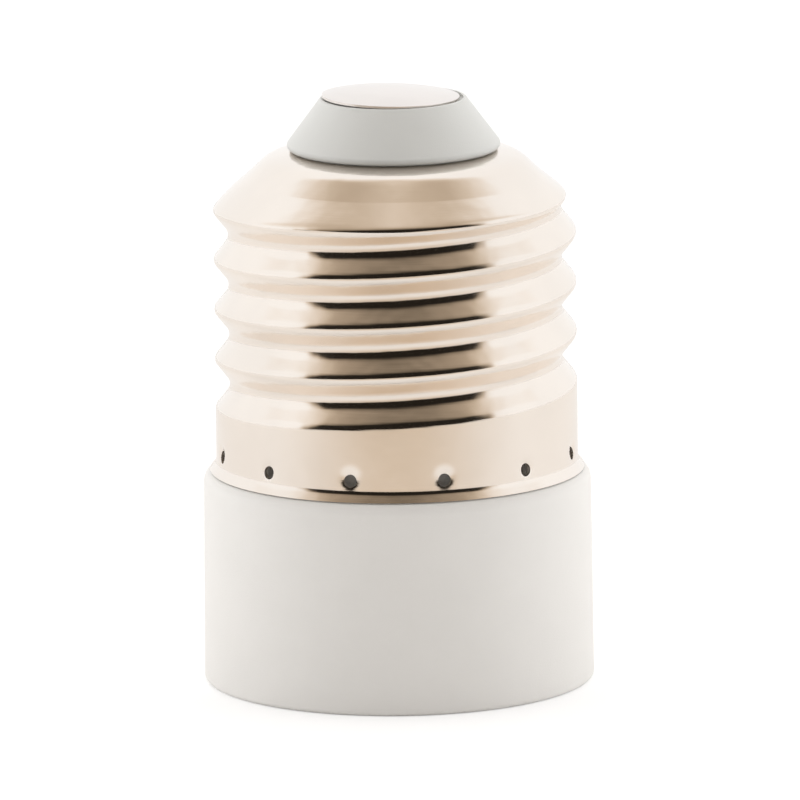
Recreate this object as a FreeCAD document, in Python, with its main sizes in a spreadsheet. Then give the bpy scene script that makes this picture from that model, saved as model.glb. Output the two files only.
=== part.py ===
import FreeCAD, Part
import math
import os
import Sketcher

# Lamp socket adapter: a large screw cap on top, a small screw socket inside the open foot.
# The rim of the foot stands on the plane Z = 0, Z is the cap's axis and the tip contact is up.
# The cap's thread is right-handed and its crest passes +X at the height first_crest above the ledge.

SIZES = {
    # white body moulding
    "rim_radius": 14.1,
    "body_top_radius": 13.97,
    "ledge_height": 15.45,
    "shoulder_round": 0.85,
    "rim_bevel": 0.35,
    "outer_wall": 1.7,
    "web": 2.2,
    "mouth_radius": 8.9,
    "mouth_depth": 6.0,
    "mouth_taper": 1.5,
    "sleeve_wall": 1.4,
    "partition_rise": 10.55,
    "partition": 2.0,
    "collar_rise": 3.6,
    "collar_wall": 1.8,
    "play": 0.05,
    # rolled cap
    "cap_sheet": 0.3,
    "crest_radius": 13.05,
    "thread_depth": 1.05,
    "thread_pitch": 3.629,
    "thread_turns": 4.7,
    "first_crest": 6.18,
    "crest_half_width": 0.42,
    "flank_half_width": 0.82,
    "skirt_rise": 5.0,
    "skirt_step": 0.9,
    "flare": 0.47,
    "flare_rise": 1.0,
    "slope_rise": 22.75,
    "slope_radius": 9.2,
    "lip_rise": 23.25,
    "lip_radius": 7.3,
    # punched stakes that lock the cap to the collar
    "stake_count": 12,
    "stake_rise": 1.45,
    "stake_mouth": 0.95,
    "stake_hole": 0.42,
    "stake_depth": 0.95,
    "stake_play": 0.1,
    # tip
    "plug_radius": 7.75,
    "plug_edge_bevel": 0.3,
    "plug_height": 3.7,
    "plug_top_radius": 5.25,
    "plug_groove": 0.15,
    "plug_foot": 1.3,
    "plug_foot_radius": 7.9,
    "plug_bore": 1.45,
    "seat_depth": 0.2,
    "seat_play": 0.1,
    "nail_radius": 4.95,
    "nail_edge": 0.3,
    "nail_dome": 0.55,
    "nail_crown_round": 18.0,
    "nail_shank": 1.15,
    "nail_shank_length": 6.2,
    "nail_hollow": 0.55,
    "nail_hollow_depth": 3.2,
    "nail_tilt": 1.4,
    # small socket
    "socket_radius": 7.0,
    "socket_sheet": 0.3,
    "lug_reach": 3.5,
    "lug_width": 3.6,
    "shell_rivet_place": 5.2,
    "strip": 0.35,
    "tongue_width": 3.2,
    "tongue_foot_end": 5.2,
    "tongue_bend": 1.9,
    "tongue_run": 4.6,
    "tongue_drop": 2.0,
    "tongue_tip_run": 0.9,
    "tongue_tip_rise": 0.35,
    "tongue_round": 0.5,
    "centre_rivet_place": 3.6,
    "rivet_radius": 0.8,
    "rivet_head_radius": 1.4,
    "rivet_head": 0.5,
    "rivet_bevel": 0.25,
    # tags and leads on the upper side of the partition
    "tag": 0.4,
    "tag_width": 2.8,
    "tag_foot": 3.8,
    "tag_rise": 3.4,
    "wire_rise": 2.5,
    "wire_radius": 0.3,
    "wire_play": 0.04,
    "wire_bend": 1.3,
    "wire_end_play": 0.3,
    "wire_stub": 0.6,
    "jacket_radius": 0.8,
    "bare_end": 1.0,
    "jacket_end_gap": 0.2,
    "neutral_run_radius": 10.1,
    "neutral_turn_rise": 0.3,
    "slot_depth": 0.75,
    "slot_length": 2.4,
}

doc = FreeCAD.newDocument("lamp_socket_adapter")
sheet = doc.addObject("Spreadsheet::Sheet", "Sizes")
for row, (name, number) in enumerate(SIZES.items(), start=1):
    sheet.set(f"A{row}", name)
    sheet.set(f"B{row}", str(number))
    sheet.setAlias(f"B{row}", name)
doc.recompute()


def size(text):
    """An expression in which every word that names a size reads its cell of the sheet."""
    for name in sorted(SIZES, key=len, reverse=True):
        text = text.replace(f"<{name}>", f"Sizes.{name}")
    return text


def value(text):
    """The number that an expression gives now."""
    return float(sheet.evalExpression(size(text)))


# Places that several pieces share, each worked out from the driving sizes.
LEDGE = "<ledge_height>"
PARTITION_UNDER = "(<ledge_height> + <partition_rise>)"
PARTITION_TOP = "(<ledge_height> + <partition_rise> + <partition>)"
SOCKET_OUTSIDE = "(<socket_radius> + <socket_sheet>)"
SLEEVE_BORE = "(<socket_radius> + <socket_sheet> + <play>)"
SLEEVE_OUTSIDE = "(<socket_radius> + <socket_sheet> + <play> + <sleeve_wall>)"
SLEEVE_MIDDLE = "(<socket_radius> + <socket_sheet> + <play> + <sleeve_wall> / 2)"
SLEEVE_START = "(<mouth_depth> + <mouth_taper>)"
WEB_MIDDLE = "(<ledge_height> - <web> / 2)"
COLLAR_OUTSIDE = "(<crest_radius> - <cap_sheet> - <play>)"
COLLAR_INSIDE = "(<crest_radius> - <cap_sheet> - <play> - <collar_wall>)"
COLLAR_TOP = "(<ledge_height> + <collar_rise>)"
ROOT_RADIUS = "(<crest_radius> - <thread_depth>)"
LIP_TOP = "(<ledge_height> + <lip_rise>)"
SLOPE_TOP = "(<ledge_height> + <slope_rise>)"
PLUG_BASE = "(<ledge_height> + <lip_rise> + <play>)"
PLUG_TOP = "(<ledge_height> + <lip_rise> + <play> + <plug_height>)"
PLUG_FOOT_TOP = "(<ledge_height> + <lip_rise> - <cap_sheet> - <play>)"
PLUG_NECK = "(<lip_radius> - <plug_groove>)"
WIRE_HEIGHT = "(<ledge_height> + <partition_rise> + <partition> + <wire_rise>)"
WIRE_HOLE = "(<wire_radius> + <wire_play>)"
SLOT_RADIUS = "(<crest_radius> - <cap_sheet> - <wire_radius> - <play>)"
STAKE_HEIGHT = "(<ledge_height> + <stake_rise>)"
SLOPE_INSET = "(<cap_sheet> * tan(67.5))"
UNDER_LIP_RISE = f"(<lip_rise> - <slope_rise> - <cap_sheet> + {SLOPE_INSET})"
UNDER_LIP_FALL = f"({UNDER_LIP_RISE} / (<slope_radius> - <lip_radius>))"
SEAT = "(<ledge_height> + <lip_rise> + <play> + <plug_height> - <seat_depth>)"
NAIL_LIFT = "(<nail_radius> * sin(<nail_tilt>) + <play>)"
NAIL_FOOT = f"({SEAT} + {NAIL_LIFT} - <nail_shank_length>)"
RIVET_HOLE_LENGTH = "4 * <partition>"
WIRE_HOLE_LENGTH = "4 * <shell_rivet_place>"


def plane_of(body, role):
    """One of the body's own origin planes."""
    return next(part for part in body.Origin.OriginFeatures if part.Role == role)


def new_sketch(body, name, role, lift=None):
    """A sketch on an origin plane of its body, moved along the plane's normal by lift."""
    sketch = body.newObject("Sketcher::SketchObject", name)
    sketch.AttachmentSupport = [(plane_of(body, role), "")]
    sketch.MapMode = "FlatFace"
    if lift:
        sketch.setExpression("AttachmentOffset.Base.z", size(lift))
    return sketch


def pin_point(sketch, geometry, point, place):
    """Tie one point of a sketch to a pair of expressions."""
    for direction, text in zip(("DistanceX", "DistanceY"), place):
        bound = sketch.addConstraint(
            Sketcher.Constraint(direction, -1, 1, geometry, point, value(text))
        )
        sketch.setExpression(f"Constraints[{bound}]", size(text))


def turn_left(before, here, after):
    """True where the way through three points bends to the left."""
    way_in = here - before
    way_out = after - here
    return way_in.x * way_out.y - way_in.y * way_out.x > 0


def draw(sketch, corners, closed=True):
    """Straight sides through corners (x, y); a corner with a third value, its radius, gets a tangent arc."""
    places = [FreeCAD.Vector(value(corner[0]), value(corner[1]), 0) for corner in corners]
    count = len(corners)
    sides = count if closed else count - 1
    starts = list(places)
    ends = list(places)
    for here, corner in enumerate(corners):
        if len(corner) == 3:
            way_in = (places[here - 1] - places[here]).normalize()
            way_out = (places[(here + 1) % count] - places[here]).normalize()
            trim = value(corner[2]) / math.tan(way_in.getAngle(way_out) / 2)
            ends[here] = places[here] + way_in * trim
            starts[here] = places[here] + way_out * trim
    for side in range(sides):
        line = Part.LineSegment(starts[side], ends[(side + 1) % count])
        sketch.addGeometry(line, False)
    for here, corner in enumerate(corners):
        side_in = (here - 1) % sides if closed else here - 1
        side_out = here
        if not closed and here == 0:
            pin_point(sketch, 0, 1, corner)
        elif not closed and here == count - 1:
            pin_point(sketch, side_in, 2, corner)
        elif len(corner) == 2:
            sketch.addConstraint(Sketcher.Constraint("Coincident", side_in, 2, side_out, 1))
            pin_point(sketch, side_out, 1, corner)
        else:
            round_corner(sketch, places, here, ends[here], starts[here], corner, side_in, side_out)
    return sketch


def round_corner(sketch, places, here, arc_in, arc_out, corner, side_in, side_out):
    """The arc of one rounded corner, tangent to both sides, with the sharp corner as a construction point."""
    before = places[here - 1]
    after = places[(here + 1) % len(places)]
    radius = value(corner[2])
    left = turn_left(before, places[here], after)
    way_in = (places[here] - before).normalize()
    normal = FreeCAD.Vector(-way_in.y, way_in.x, 0) if left else FreeCAD.Vector(way_in.y, -way_in.x, 0)
    centre = arc_in + normal * radius
    first, last = (arc_in, arc_out) if left else (arc_out, arc_in)
    angles = [math.atan2(end.y - centre.y, end.x - centre.x) for end in (first, last)]
    circle = Part.Circle(centre, FreeCAD.Vector(0, 0, 1), radius)
    arc = sketch.addGeometry(Part.ArcOfCircle(circle, angles[0], angles[1]), False)
    sharp = sketch.addGeometry(Part.Point(places[here]), True)
    sketch.addConstraint(Sketcher.Constraint("Tangent", side_in, 2, arc, 1 if left else 2))
    sketch.addConstraint(Sketcher.Constraint("Tangent", side_out, 1, arc, 2 if left else 1))
    bound = sketch.addConstraint(Sketcher.Constraint("Radius", arc, radius))
    sketch.setExpression(f"Constraints[{bound}]", size(corner[2]))
    sketch.addConstraint(Sketcher.Constraint("PointOnObject", sharp, 1, side_in))
    sketch.addConstraint(Sketcher.Constraint("PointOnObject", sharp, 1, side_out))
    pin_point(sketch, sharp, 1, corner[:2])


def draw_circle(sketch, place, radius):
    """A circle with its centre and radius tied to expressions."""
    centre = FreeCAD.Vector(value(place[0]), value(place[1]), 0)
    circle = sketch.addGeometry(Part.Circle(centre, FreeCAD.Vector(0, 0, 1), value(radius)), False)
    bound = sketch.addConstraint(Sketcher.Constraint("Radius", circle, value(radius)))
    sketch.setExpression(f"Constraints[{bound}]", size(radius))
    pin_point(sketch, circle, 3, place)


def turned_body(name, outline):
    """A body turned about Z from an outline of (radius, height) corners."""
    body = doc.addObject("PartDesign::Body", name)
    sketch = draw(new_sketch(body, name + "_outline", "XZ_Plane"), outline)
    turn = body.newObject("PartDesign::Revolution", name + "_turn")
    turn.Profile = sketch
    turn.ReferenceAxis = (sketch, ["V_Axis"])
    turn.Angle = 360
    doc.recompute()
    return body


def pad(body, sketch, length, both_ways=False):
    """Material added to a body, square to a sketch."""
    step = body.newObject("PartDesign::Pad", sketch.Name + "_pad")
    step.Profile = sketch
    step.setExpression("Length", size(length))
    step.SideType = "Symmetric" if both_ways else "One side"
    doc.recompute()
    return step


def drill(body, sketch, length):
    """Holes through a body, square to a sketch, half of the length to each side of it."""
    step = body.newObject("PartDesign::Pocket", sketch.Name + "_holes")
    step.Profile = sketch
    step.Type = "Length"
    step.setExpression("Length", size(length))
    step.SideType = "Symmetric"
    before = body.Shape.Volume
    doc.recompute()
    if body.Shape.Volume >= before:
        raise RuntimeError(f"{sketch.Name} cut nothing")
    return step


def joined(name, kind, pieces):
    """A fuse, cut or common of earlier objects; a cut takes the second from the first."""
    step = doc.addObject(kind, name)
    if kind == "Part::Cut":
        step.Base, step.Tool = pieces
    else:
        step.Shapes = pieces
    doc.recompute()
    return step


# Body moulding: the outer wall with its web, the collar for the cap, and the stepped sleeve round the
# small socket. The collar and the sleeve both start in the middle of the web.
outer_wall = turned_body("outer_wall_turned", [
    ("<rim_radius> - <rim_bevel>", "0"),
    ("<rim_radius>", "<rim_bevel>"),
    ("<body_top_radius>", LEDGE, "<shoulder_round>"),
    (SLEEVE_MIDDLE, LEDGE),
    (SLEEVE_MIDDLE, LEDGE + " - <web>"),
    ("<body_top_radius> - <outer_wall>", LEDGE + " - <web>"),
    ("<rim_radius> - <outer_wall>", "0"),
])
collar = turned_body("collar_turned", [
    (COLLAR_OUTSIDE, WEB_MIDDLE),
    (COLLAR_OUTSIDE, COLLAR_TOP),
    (COLLAR_INSIDE, COLLAR_TOP),
    (COLLAR_INSIDE, WEB_MIDDLE),
])
sleeve = turned_body("sleeve_turned", [
    ("0", PARTITION_TOP),
    ("0", PARTITION_UNDER),
    (SLEEVE_BORE, PARTITION_UNDER),
    (SLEEVE_BORE, SLEEVE_START),
    ("<mouth_radius>", "<mouth_depth>"),
    ("<mouth_radius>", "0"),
    ("<mouth_radius> + <sleeve_wall>", "0"),
    ("<mouth_radius> + <sleeve_wall>", WEB_MIDDLE),
    (SLEEVE_OUTSIDE, WEB_MIDDLE),
    (SLEEVE_OUTSIDE, PARTITION_TOP),
])
rivet_holes = new_sketch(sleeve, "rivet_holes", "XY_Plane", PARTITION_UNDER)
for hole_place in (
    ("<shell_rivet_place>", "0"),
    ("-<shell_rivet_place>", "0"),
    ("0", "<centre_rivet_place>"),
):
    draw_circle(rivet_holes, hole_place, "<rivet_radius> + <play>")
drill(sleeve, rivet_holes, RIVET_HOLE_LENGTH)
moulding = joined("moulding", "Part::MultiFuse", [outer_wall, collar, sleeve])


def stake(name, index, kind, radii, reach, length):
    """One cone or cylinder on a stake's axis, which points at the cap's axis from the distance reach."""
    turn = f"({index} + 0.5) * 360 / <stake_count>"
    form = doc.addObject(kind, f"{name}_{index}")
    if kind == "Part::Cone":
        form.setExpression("Radius1", size(radii[0]))
        form.setExpression("Radius2", size(radii[1]))
    else:
        form.setExpression("Radius", size(radii[0]))
    form.setExpression("Height", size(length))
    angle = value(turn)
    inwards = FreeCAD.Vector(-math.cos(math.radians(angle)), -math.sin(math.radians(angle)), 0)
    form.Placement.Rotation = FreeCAD.Rotation(FreeCAD.Vector(0, 0, 1), inwards)
    form.setExpression("Placement.Base.x", size(f"({reach}) * cos({turn})"))
    form.setExpression("Placement.Base.y", size(f"({reach}) * sin({turn})"))
    form.setExpression("Placement.Base.z", size(STAKE_HEIGHT))
    return form


def stakes(name, kind, radii, reach, length):
    """The same form on every stake."""
    return [
        stake(name, index, kind, radii, reach, length)
        for index in range(round(value("<stake_count>")))
    ]


wire_slot = doc.addObject("Part::Box", "wire_slot")
wire_slot.setExpression("Length", size("<slot_depth> + <play>"))
wire_slot.setExpression("Width", size("2 * (<wire_radius> + <play>)"))
wire_slot.setExpression("Height", size("<slot_length>"))
wire_slot.setExpression("Placement.Base.x", size(COLLAR_OUTSIDE + " - <slot_depth>"))
wire_slot.setExpression("Placement.Base.y", size("-<wire_radius> - <play>"))
wire_slot.setExpression("Placement.Base.z", size(COLLAR_TOP + " - <slot_length>"))
recesses = stakes(
    "recess",
    "Part::Cylinder",
    ("<stake_mouth> + <cap_sheet> / 2 + <stake_play>",),
    "<crest_radius>",
    "<stake_depth> + <stake_play>",
)
moulding_cuts = joined("moulding_cuts", "Part::MultiFuse", recesses + [wire_slot])
body_moulding = joined("body_moulding", "Part::Cut", [moulding, moulding_cuts])


# The ridge starts this share of a turn before its crest passes +X, and goes this share of the
# thread's depth below the root, so that it crosses the wall instead of only touching it.
RIDGE_LEAD = 0.6
RIDGE_SINK = 0.25
SWEEP_TOLERANCE = 0.05
SWEEP_ANGLE = 0.01


# Cap of rolled sheet. Its outside and its inside are each a turned form with a helical ridge,
# cut off along the slope of the shoulder, and the sheet is what lies between the two.
def cap_side(name, inset, foot):
    """One side of the cap, inset from the outside by the sheet, as a full solid that starts at foot."""
    slope_inset = f"{inset} * tan(67.5)"
    slope_foot = f"(<slope_radius> + {SLOPE_TOP} - {slope_inset})"
    root = f"({ROOT_RADIUS} - {inset})"
    outline = [
        ("0", foot),
        (f"<crest_radius> - {inset} + <flare> * ({LEDGE} + <flare_rise> - {foot}) / <flare_rise>", foot),
        (f"<crest_radius> - {inset}", f"{LEDGE} + <flare_rise>"),
        (f"<crest_radius> - {inset}", f"{LEDGE} + <skirt_rise>"),
        (root, f"{LEDGE} + <skirt_rise> + <skirt_step>"),
        (root, f"{slope_foot} - {root}"),
        ("<slope_radius>", f"{SLOPE_TOP} - {slope_inset}"),
        ("<lip_radius>", f"{LIP_TOP} - {inset}"),
        ("0", f"{LIP_TOP} - {inset}"),
    ]
    turned = turned_body(name + "_turned", outline)
    ridge = doc.addObject("Part::Feature", name + "_ridge")
    ridge.Shape = thread_ridge(value(inset)).common(under_slope(value(slope_inset), value(foot)))
    return joined(name, "Part::MultiFuse", [turned, ridge])


def thread_ridge(inset):
    """The helical ridge, from below the root to the crest, with straight flanks and a narrow crest."""
    pitch = value("<thread_pitch>")
    turns = value("<thread_turns>")
    crest = value("<crest_radius>") - inset
    half_depth = value("<thread_depth>") / 2
    spread = value("<flank_half_width> - <crest_half_width>") / half_depth
    narrowing = inset * math.tan(math.atan(spread) / 2)
    half_crest = value("<crest_half_width>") - narrowing
    sunk = crest - value("<thread_depth>") * (1 + RIDGE_SINK)
    half_foot = half_crest + spread * (crest - sunk)
    low = value(f"{LEDGE} + <first_crest>") - pitch * RIDGE_LEAD
    corners = [
        FreeCAD.Vector(radius, 0, low + side)
        for radius, side in (
            (sunk, -half_foot),
            (crest, -half_crest),
            (crest, half_crest),
            (sunk, half_foot),
        )
    ]
    helix = Part.makeHelix(pitch, pitch * turns, crest)
    helix.translate(FreeCAD.Vector(0, 0, low))
    sweep = Part.BRepOffsetAPI.MakePipeShell(Part.Wire(helix.Edges))
    sweep.setFrenetMode(True)
    sweep.setTolerance(SWEEP_TOLERANCE, SWEEP_TOLERANCE, SWEEP_ANGLE)
    sweep.add(Part.makePolygon(corners + [corners[0]]))
    sweep.build()
    sweep.makeSolid()
    ridge = sweep.shape()
    ridge.rotate(FreeCAD.Vector(0, 0, 0), FreeCAD.Vector(0, 0, 1), -360 * RIDGE_LEAD)
    return ridge


def under_slope(inset, foot):
    """The space under the slope of the shoulder, which ends the ridge at the top."""
    low = foot
    peak = value(f"<slope_radius> + {SLOPE_TOP}") - inset
    cone = Part.makeCone(peak - low, 0, peak - low)
    cone.translate(FreeCAD.Vector(0, 0, low))
    return cone


cap_outside = cap_side("cap_outside", "0", LEDGE)
cap_inside = cap_side("cap_inside", "<cap_sheet>", f"({LEDGE} - <cap_sheet>)")
cap_hole = doc.addObject("Part::Cylinder", "cap_hole")
cap_hole.setExpression("Radius", size("<lip_radius>"))
cap_hole.setExpression("Height", size("<lip_rise> + <cap_sheet>"))
cap_hole.setExpression("Placement.Base.z", size(LEDGE))
cap_hollow = joined("cap_hollow", "Part::MultiFuse", [cap_inside, cap_hole])
cap_sheet = joined("cap_sheet", "Part::Cut", [cap_outside, cap_hollow])
bumps = stakes(
    "bump",
    "Part::Cone",
    ("<stake_mouth> + <cap_sheet> / 2", "<stake_hole> + <cap_sheet>"),
    "<crest_radius> - <cap_sheet> / 2",
    "<stake_depth> - <cap_sheet> / 2",
)
dimples = stakes(
    "dimple",
    "Part::Cone",
    ("<stake_mouth> - <cap_sheet> / 2", "<stake_hole>"),
    "<crest_radius>",
    "<stake_depth> + <play>",
)
cap_with_bumps = joined("cap_with_bumps", "Part::MultiFuse", [cap_sheet] + bumps)
all_dimples = joined("all_dimples", "Part::MultiFuse", dimples)
male_screw_shell = joined("male_screw_shell", "Part::Cut", [cap_with_bumps, all_dimples])

# Tip insulator: a frustum with a neck in the cap's hole, a foot below the sheet and a seat on top.
tip_insulator = turned_body("tip_insulator", [
    ("<plug_bore>", f"{PLUG_FOOT_TOP} - <plug_foot>"),
    ("<plug_foot_radius>", f"{PLUG_FOOT_TOP} - <plug_foot>"),
    ("<plug_foot_radius>", f"{PLUG_FOOT_TOP} - {UNDER_LIP_FALL} * (<plug_foot_radius> - <lip_radius>)"),
    (PLUG_NECK, PLUG_FOOT_TOP),
    (PLUG_NECK, PLUG_BASE),
    ("<plug_radius> - <plug_edge_bevel>", PLUG_BASE),
    ("<plug_radius>", PLUG_BASE + " + <plug_edge_bevel>"),
    ("<plug_top_radius>", PLUG_TOP),
    ("<nail_radius> + <seat_play>", PLUG_TOP),
    ("<nail_radius> + <seat_play>", SEAT),
    ("<plug_bore>", SEAT),
])

# Tip contact: a domed nail head that rests on one edge, so it stands a little tilted, with a hollow shank.
tip_contact = turned_body("tip_contact", [
    ("0", "<nail_edge> + <nail_dome>"),
    ("<nail_radius> / 2", "<nail_edge> + <nail_dome>", "<nail_crown_round>"),
    ("<nail_radius>", "<nail_edge>"),
    ("<nail_radius>", "0"),
    ("<nail_shank>", "0"),
    ("<nail_shank>", "-<nail_shank_length>"),
    ("<nail_hollow>", "-<nail_shank_length>"),
    ("<nail_hollow>", "<nail_hollow_depth> - <nail_shank_length>"),
    ("0", "<nail_hollow_depth> - <nail_shank_length>"),
])
tip_contact.Placement.Rotation = FreeCAD.Rotation(FreeCAD.Vector(0, 1, 0), value("<nail_tilt>"))
tip_contact.setExpression("Placement.Base.z", size(f"{SEAT} + {NAIL_LIFT}"))

# Small socket's shell: a sleeve of sheet with two lugs bent inwards under the partition.
female_screw_shell = turned_body("female_screw_shell", [
    ("<socket_radius>", SLEEVE_START),
    (SOCKET_OUTSIDE, SLEEVE_START),
    (SOCKET_OUTSIDE, PARTITION_UNDER),
    ("<socket_radius>", PARTITION_UNDER),
])
for side in ("-", ""):
    lug = new_sketch(female_screw_shell, "lug", "XY_Plane", f"{PARTITION_UNDER} - <socket_sheet>")
    draw(lug, [
        (f"{side}<lug_reach>", "-<lug_width> / 2"),
        (f"{side}(<socket_radius> + <play>)", "-<lug_width> / 2"),
        (f"{side}(<socket_radius> + <play>)", "<lug_width> / 2"),
        (f"{side}<lug_reach>", "<lug_width> / 2"),
    ])
    pad(female_screw_shell, lug, "<socket_sheet>")
shell_rivet_holes = new_sketch(female_screw_shell, "shell_rivet_holes", "XY_Plane", PARTITION_UNDER)
for side in ("-", ""):
    draw_circle(shell_rivet_holes, (f"{side}<shell_rivet_place>", "0"), "<rivet_radius> + <play>")
drill(female_screw_shell, shell_rivet_holes, RIVET_HOLE_LENGTH)

# Centre contact: a spring strip, flat under its rivet, then sloping down to a knee that meets the lamp's tip.
centre_contact_tongue = doc.addObject("PartDesign::Body", "centre_contact_tongue")
upper_line = [
    ("<tongue_foot_end>", PARTITION_UNDER),
    ("<tongue_bend>", PARTITION_UNDER, "<tongue_round>"),
    ("<tongue_bend> - <tongue_run>", f"{PARTITION_UNDER} - <tongue_drop>", "<tongue_round>"),
    (
        "<tongue_bend> - <tongue_run> - <tongue_tip_run>",
        f"{PARTITION_UNDER} - <tongue_drop> + <tongue_tip_rise>",
    ),
]
lower_line = [(corner[0], f"{corner[1]} - <strip>") + corner[2:] for corner in reversed(upper_line)]
strip_edge = new_sketch(centre_contact_tongue, "strip_edge", "YZ_Plane")
pad(centre_contact_tongue, draw(strip_edge, upper_line + lower_line), "<tongue_width>", both_ways=True)
strip_hole = new_sketch(centre_contact_tongue, "strip_hole", "XY_Plane", PARTITION_UNDER)
draw_circle(strip_hole, ("0", "<centre_rivet_place>"), "<rivet_radius> + <play>")
drill(centre_contact_tongue, strip_hole, RIVET_HOLE_LENGTH)


def rivet(name, low, high, place):
    """A rivet with a head at each end, between the heights low and high, on the axis at place."""
    body = turned_body(name, [
        ("0", f"{low} - <rivet_head>"),
        ("<rivet_head_radius> - <rivet_bevel>", f"{low} - <rivet_head>"),
        ("<rivet_head_radius>", f"{low} - <rivet_head> + <rivet_bevel>"),
        ("<rivet_head_radius>", low),
        ("<rivet_radius>", low),
        ("<rivet_radius>", high),
        ("<rivet_head_radius>", high),
        ("<rivet_head_radius>", f"{high} + <rivet_head> - <rivet_bevel>"),
        ("<rivet_head_radius> - <rivet_bevel>", f"{high} + <rivet_head>"),
        ("0", f"{high} + <rivet_head>"),
    ])
    body.setExpression("Placement.Base.x", size(place[0]))
    body.setExpression("Placement.Base.y", size(place[1]))
    return body


UNDER_LUG = f"({PARTITION_UNDER} - <socket_sheet>)"
UNDER_STRIP = f"({PARTITION_UNDER} - <strip>)"
TAG_TOP = f"({PARTITION_TOP} + <tag>)"
shell_rivet_left = rivet("shell_rivet_left", UNDER_LUG, PARTITION_TOP, ("-<shell_rivet_place>", "0"))
shell_rivet_right = rivet("shell_rivet_right", UNDER_LUG, TAG_TOP, ("<shell_rivet_place>", "0"))
centre_contact_rivet = rivet("centre_contact_rivet", UNDER_STRIP, TAG_TOP, ("0", "<centre_rivet_place>"))


def terminal_tag(name, side_plane, face_plane, rivet_place, direction, hole_place):
    """A bent tag: its foot lies under a rivet head, its upright with the wire's hole stands at one end."""
    body = doc.addObject("PartDesign::Body", name)
    near = f"{rivet_place} {direction} <tag_foot> / 2"
    far = f"{rivet_place} - ({direction} <tag_foot> / 2)"
    inner = f"{near} - ({direction} <tag>)"
    edge = new_sketch(body, name + "_edge", side_plane)
    draw(edge, [
        (far, PARTITION_TOP),
        (near, PARTITION_TOP),
        (near, f"{PARTITION_TOP} + <tag_rise>"),
        (inner, f"{PARTITION_TOP} + <tag_rise>"),
        (inner, TAG_TOP),
        (far, TAG_TOP),
    ])
    pad(body, edge, "<tag_width>", both_ways=True)
    rivet_hole = new_sketch(body, name + "_rivet_hole", "XY_Plane", PARTITION_TOP)
    draw_circle(rivet_hole, hole_place, "<rivet_radius> + <play>")
    drill(body, rivet_hole, RIVET_HOLE_LENGTH)
    wire_hole = new_sketch(body, name + "_wire_hole", face_plane)
    draw_circle(wire_hole, ("0", WIRE_HEIGHT), WIRE_HOLE)
    drill(body, wire_hole, WIRE_HOLE_LENGTH)
    return body


live_terminal_tag = terminal_tag(
    "live_terminal_tag",
    "YZ_Plane",
    "XZ_Plane",
    "<centre_rivet_place>",
    "-",
    ("0", "<centre_rivet_place>"),
)
neutral_terminal_tag = terminal_tag(
    "neutral_terminal_tag",
    "XZ_Plane",
    "YZ_Plane",
    "<shell_rivet_place>",
    "+",
    ("<shell_rivet_place>", "0"),
)


def lead_piece(name, plane, corners, radii):
    """A wire or its jacket along a path in one plane that starts upright, as a pipe of one or two circles."""
    body = doc.addObject("PartDesign::Body", name)
    path = draw(new_sketch(body, name + "_path", plane), corners, closed=False)
    section = new_sketch(body, name + "_section", "XY_Plane", corners[0][1])
    across = corners[0][0]
    for radius in radii:
        draw_circle(section, (across, "0") if plane == "XZ_Plane" else ("0", across), radius)
    pipe = body.newObject("PartDesign::AdditivePipe", name + "_pipe")
    pipe.Profile = section
    pipe.Spine = (path, [])
    doc.recompute()
    return body


# Live lead: from the live tag's upright to the hollow of the nail's shank.
LIVE_UPRIGHT = "(<centre_rivet_place> - <tag_foot> / 2)"
live_lead_conductor = lead_piece("live_lead_conductor", "YZ_Plane", [
    ("0", f"{NAIL_FOOT} + <nail_hollow_depth> - <wire_end_play>"),
    ("0", WIRE_HEIGHT, "<wire_bend>"),
    (f"{LIVE_UPRIGHT} + <tag> + <wire_stub>", WIRE_HEIGHT),
], ("<wire_radius>",))
live_lead_insulation = lead_piece("live_lead_insulation", "YZ_Plane", [
    ("0", f"{NAIL_FOOT} - <bare_end>"),
    ("0", WIRE_HEIGHT, "<wire_bend>"),
    (f"{LIVE_UPRIGHT} - <jacket_end_gap>", WIRE_HEIGHT),
], ("<jacket_radius>", WIRE_HOLE))

# Neutral lead: from the neutral tag, down outside the sleeve, over the collar's top into its slot.
NEUTRAL_UPRIGHT = "(<shell_rivet_place> + <tag_foot> / 2)"
NEUTRAL_TURN = f"({COLLAR_TOP} + <neutral_turn_rise>)"
NEUTRAL_RUN_LOW = f"({NEUTRAL_TURN} + {SLOT_RADIUS} - <neutral_run_radius>)"
neutral_lead_conductor = lead_piece("neutral_lead_conductor", "XZ_Plane", [
    (SLOT_RADIUS, f"{COLLAR_TOP} - <slot_length> + 2 * <play>"),
    (SLOT_RADIUS, NEUTRAL_TURN, "<wire_bend>"),
    ("<neutral_run_radius>", NEUTRAL_RUN_LOW, "<wire_bend>"),
    ("<neutral_run_radius>", WIRE_HEIGHT, "<wire_bend>"),
    (f"{NEUTRAL_UPRIGHT} - <tag> - <wire_stub>", WIRE_HEIGHT),
], ("<wire_radius>",))
neutral_lead_insulation = lead_piece("neutral_lead_insulation", "XZ_Plane", [
    ("<neutral_run_radius>", f"{NEUTRAL_RUN_LOW} + <bare_end>"),
    ("<neutral_run_radius>", WIRE_HEIGHT, "<wire_bend>"),
    (f"{NEUTRAL_UPRIGHT} + <jacket_end_gap>", WIRE_HEIGHT),
], ("<jacket_radius>", WIRE_HOLE))

SUB_PARTS = [
    body_moulding,
    male_screw_shell,
    tip_insulator,
    tip_contact,
    female_screw_shell,
    centre_contact_tongue,
    centre_contact_rivet,
    shell_rivet_left,
    shell_rivet_right,
    live_terminal_tag,
    neutral_terminal_tag,
    live_lead_conductor,
    live_lead_insulation,
    neutral_lead_conductor,
    neutral_lead_insulation,
]

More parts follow.
